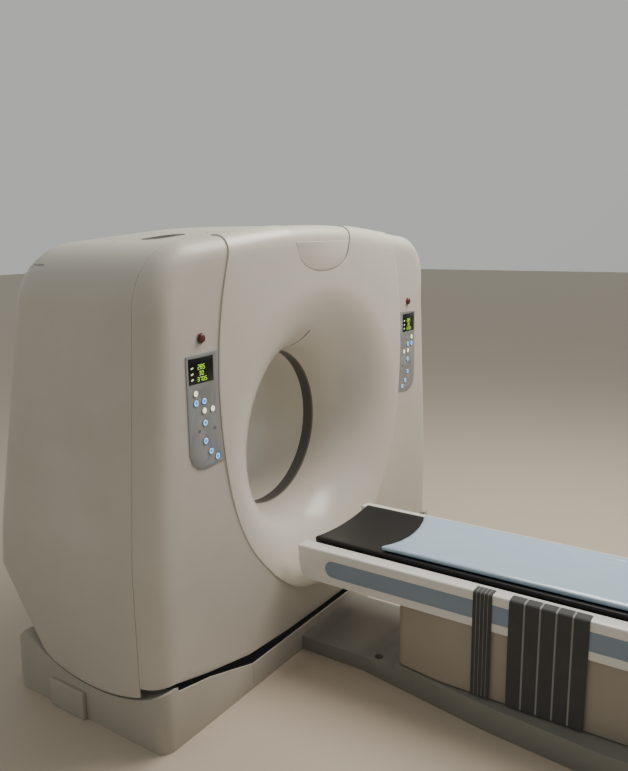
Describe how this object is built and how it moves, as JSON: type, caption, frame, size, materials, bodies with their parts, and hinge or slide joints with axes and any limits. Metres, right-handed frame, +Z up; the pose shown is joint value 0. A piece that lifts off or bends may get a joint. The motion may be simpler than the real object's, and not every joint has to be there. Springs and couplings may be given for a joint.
{
  "type": "ct scanner",
  "caption": "Tilting CT gantry with a wide bore, spinning tube and detector rotor, control panels, and a lifting patient couch with a sliding top.",
  "frame": {"origin": "on the floor, straight below the isocentre at the middle of the bore", "axes": "+Z up; +Y along the bore from the couch to the back of the gantry; +X to the right for someone who stands at the foot of the couch and faces the bore"},
  "size_m": [2.112, 3.3938, 1.7752],
  "materials": {
    "shell": "warm white satin moulding",
    "funnel": "glossy cream moulding",
    "scan_window": "dark tinted film",
    "laser_window": "dark tinted acrylic",
    "vent": "grey moulded grille",
    "panel_film": "silver grey control film",
    "display": "black display window",
    "key_white": "white translucent key",
    "key_blue": "blue translucent key",
    "stop_red": "dark red button",
    "frame_paint": "grey painted steel",
    "base_paint": "dark grey painted steel",
    "motor_paint": "blue grey painted motor",
    "steel": "ground steel",
    "belt": "black toothed rubber",
    "rotor": "machined aluminium",
    "tube_housing": "light grey painted housing",
    "generator": "painted steel case",
    "detector": "green grey painted case",
    "base_cover": "warm grey base covers",
    "plinth": "grey painted plinth",
    "lift_cover": "cream painted sleeves",
    "couch_frame": "white gloss frame covers",
    "trim": "pale blue inlay",
    "carbon": "black carbon fibre shell",
    "vinyl": "light blue vinyl",
    "strap": "dark grey webbing"
  },
  "bodies": {
    "base": {"base_frame": "base_paint", "base_cover_left": "base_cover", "base_cover_right": "base_cover", "base_sills": "base_cover", "anchor_covers": "base_cover", "tilt_motor": "motor_paint", "couch_plinth": "plinth", "lift_cover_lower": "lift_cover"},
    "gantry": {"tilt_frame": "frame_paint", "front_cover": "shell", "bore_funnel": "funnel", "side_cover_left": "shell", "side_cover_right": "shell", "top_cover": "shell", "rear_cover": "shell", "rear_funnel": "funnel", "scan_window": "scan_window", "emblem_plate": "funnel", "top_vents": "vent", "panel_left": "panel_film", "panel_right": "panel_film", "displays": "display", "laser_windows": "laser_window", "drive_motor": "motor_paint", "drive_belt": "belt", "main_bearing": "steel"},
    "rotor": {"rotor_drum": "rotor", "xray_tube": "tube_housing", "hv_generator": "generator", "detector_array": "detector"},
    "motor_pulley": {"motor_pulley": "steel"},
    "tilt_pinion": {"tilt_pinion": "steel"},
    "lift_stage": {"lift_stage": "lift_cover"},
    "lift": {"couch_frame": "couch_frame", "lift_cover_upper": "lift_cover", "couch_trim": "trim", "strap_narrow": "strap", "strap_wide": "strap"},
    "couchtop": {"couchtop": "carbon", "mattress": "vinyl"},
    "key_left_1": {"key_left_1": "key_white"},
    "key_left_2": {"key_left_2": "key_blue"},
    "key_left_3": {"key_left_3": "key_blue"},
    "key_left_4": {"key_left_4": "key_white"},
    "key_left_5": {"key_left_5": "key_white"},
    "key_left_6": {"key_left_6": "key_blue"},
    "key_left_7": {"key_left_7": "key_blue"},
    "key_left_8": {"key_left_8": "key_blue"},
    "key_left_9": {"key_left_9": "key_blue"},
    "key_right_1": {"key_right_1": "key_white"},
    "key_right_2": {"key_right_2": "key_blue"},
    "key_right_3": {"key_right_3": "key_blue"},
    "key_right_4": {"key_right_4": "key_white"},
    "key_right_5": {"key_right_5": "key_white"},
    "key_right_6": {"key_right_6": "key_blue"},
    "key_right_7": {"key_right_7": "key_blue"},
    "key_right_8": {"key_right_8": "key_blue"},
    "key_right_9": {"key_right_9": "key_blue"},
    "stop_left": {"stop_left": "stop_red"},
    "stop_right": {"stop_right": "stop_red"}
  },
  "joints": [
    {"name": "gantry_tilt", "type": "hinge", "parent": "base", "child": "gantry", "pos_m": [0, 0, 0.89], "axis": [1, 0, 0], "range_deg": [-5, 30]},
    {"name": "tilt_pinion_spin", "type": "hinge", "parent": "base", "child": "tilt_pinion", "pos_m": [0.85, 0.11906, 0.44567], "axis": [1, 0, 0], "range_deg": [-316, 53]},
    {"name": "rotor_spin", "type": "hinge", "parent": "gantry", "child": "rotor", "pos_m": [0, 0.1, 0.89], "axis": [0, 1, 0], "continuous": true},
    {"name": "pulley_spin", "type": "hinge", "parent": "gantry", "child": "motor_pulley", "pos_m": [0.6, 0.05, 0.34], "axis": [0, 1, 0], "continuous": true},
    {"name": "couch_lift", "type": "slide", "parent": "base", "child": "lift", "axis": [0, 0, 1], "range_m": [0, 0.38]},
    {"name": "lift_stage_slide", "type": "slide", "parent": "base", "child": "lift_stage", "axis": [0, 0, 1], "range_m": [0, 0.19]},
    {"name": "couchtop_slide", "type": "slide", "parent": "lift", "child": "couchtop", "axis": [0, 1, 0], "range_m": [0, 0.135]},
    {"name": "key_left_1_press", "type": "slide", "parent": "gantry", "child": "key_left_1", "axis": [0, 1, 0], "range_m": [0, 0.0012], "stiffness_N_per_m": 600, "springref_m": -0.0008},
    {"name": "key_left_2_press", "type": "slide", "parent": "gantry", "child": "key_left_2", "axis": [0, 1, 0], "range_m": [0, 0.0012], "stiffness_N_per_m": 600, "springref_m": -0.0008},
    {"name": "key_left_3_press", "type": "slide", "parent": "gantry", "child": "key_left_3", "axis": [0, 1, 0], "range_m": [0, 0.0012], "stiffness_N_per_m": 600, "springref_m": -0.0008},
    {"name": "key_left_4_press", "type": "slide", "parent": "gantry", "child": "key_left_4", "axis": [0, 1, 0], "range_m": [0, 0.0012], "stiffness_N_per_m": 600, "springref_m": -0.0008},
    {"name": "key_left_5_press", "type": "slide", "parent": "gantry", "child": "key_left_5", "axis": [0, 1, 0], "range_m": [0, 0.0012], "stiffness_N_per_m": 600, "springref_m": -0.0008},
    {"name": "key_left_6_press", "type": "slide", "parent": "gantry", "child": "key_left_6", "axis": [0, 1, 0], "range_m": [0, 0.0012], "stiffness_N_per_m": 600, "springref_m": -0.0008},
    {"name": "key_left_7_press", "type": "slide", "parent": "gantry", "child": "key_left_7", "axis": [0, 1, 0], "range_m": [0, 0.0012], "stiffness_N_per_m": 600, "springref_m": -0.0008},
    {"name": "key_left_8_press", "type": "slide", "parent": "gantry", "child": "key_left_8", "axis": [0, 1, 0], "range_m": [0, 0.0012], "stiffness_N_per_m": 600, "springref_m": -0.0008},
    {"name": "key_left_9_press", "type": "slide", "parent": "gantry", "child": "key_left_9", "axis": [0, 1, 0], "range_m": [0, 0.0012], "stiffness_N_per_m": 600, "springref_m": -0.0008},
    {"name": "key_right_1_press", "type": "slide", "parent": "gantry", "child": "key_right_1", "axis": [0, 1, 0], "range_m": [0, 0.0012], "stiffness_N_per_m": 600, "springref_m": -0.0008},
    {"name": "key_right_2_press", "type": "slide", "parent": "gantry", "child": "key_right_2", "axis": [0, 1, 0], "range_m": [0, 0.0012], "stiffness_N_per_m": 600, "springref_m": -0.0008},
    {"name": "key_right_3_press", "type": "slide", "parent": "gantry", "child": "key_right_3", "axis": [0, 1, 0], "range_m": [0, 0.0012], "stiffness_N_per_m": 600, "springref_m": -0.0008},
    {"name": "key_right_4_press", "type": "slide", "parent": "gantry", "child": "key_right_4", "axis": [0, 1, 0], "range_m": [0, 0.0012], "stiffness_N_per_m": 600, "springref_m": -0.0008},
    {"name": "key_right_5_press", "type": "slide", "parent": "gantry", "child": "key_right_5", "axis": [0, 1, 0], "range_m": [0, 0.0012], "stiffness_N_per_m": 600, "springref_m": -0.0008},
    {"name": "key_right_6_press", "type": "slide", "parent": "gantry", "child": "key_right_6", "axis": [0, 1, 0], "range_m": [0, 0.0012], "stiffness_N_per_m": 600, "springref_m": -0.0008},
    {"name": "key_right_7_press", "type": "slide", "parent": "gantry", "child": "key_right_7", "axis": [0, 1, 0], "range_m": [0, 0.0012], "stiffness_N_per_m": 600, "springref_m": -0.0008},
    {"name": "key_right_8_press", "type": "slide", "parent": "gantry", "child": "key_right_8", "axis": [0, 1, 0], "range_m": [0, 0.0012], "stiffness_N_per_m": 600, "springref_m": -0.0008},
    {"name": "key_right_9_press", "type": "slide", "parent": "gantry", "child": "key_right_9", "axis": [0, 1, 0], "range_m": [0, 0.0012], "stiffness_N_per_m": 600, "springref_m": -0.0008},
    {"name": "stop_left_press", "type": "slide", "parent": "gantry", "child": "stop_left", "axis": [0, 1, 0], "range_m": [0, 0.003], "stiffness_N_per_m": 1500, "springref_m": -0.002},
    {"name": "stop_right_press", "type": "slide", "parent": "gantry", "child": "stop_right", "axis": [0, 1, 0], "range_m": [0, 0.003], "stiffness_N_per_m": 1500, "springref_m": -0.002}
  ],
  "couplings": [
    {"joint": "tilt_pinion_spin", "follows": "gantry_tilt", "ratio": -10.5},
    {"joint": "pulley_spin", "follows": "rotor_spin", "ratio": 10.667},
    {"joint": "lift_stage_slide", "follows": "couch_lift", "ratio": 0.5}
  ]
}
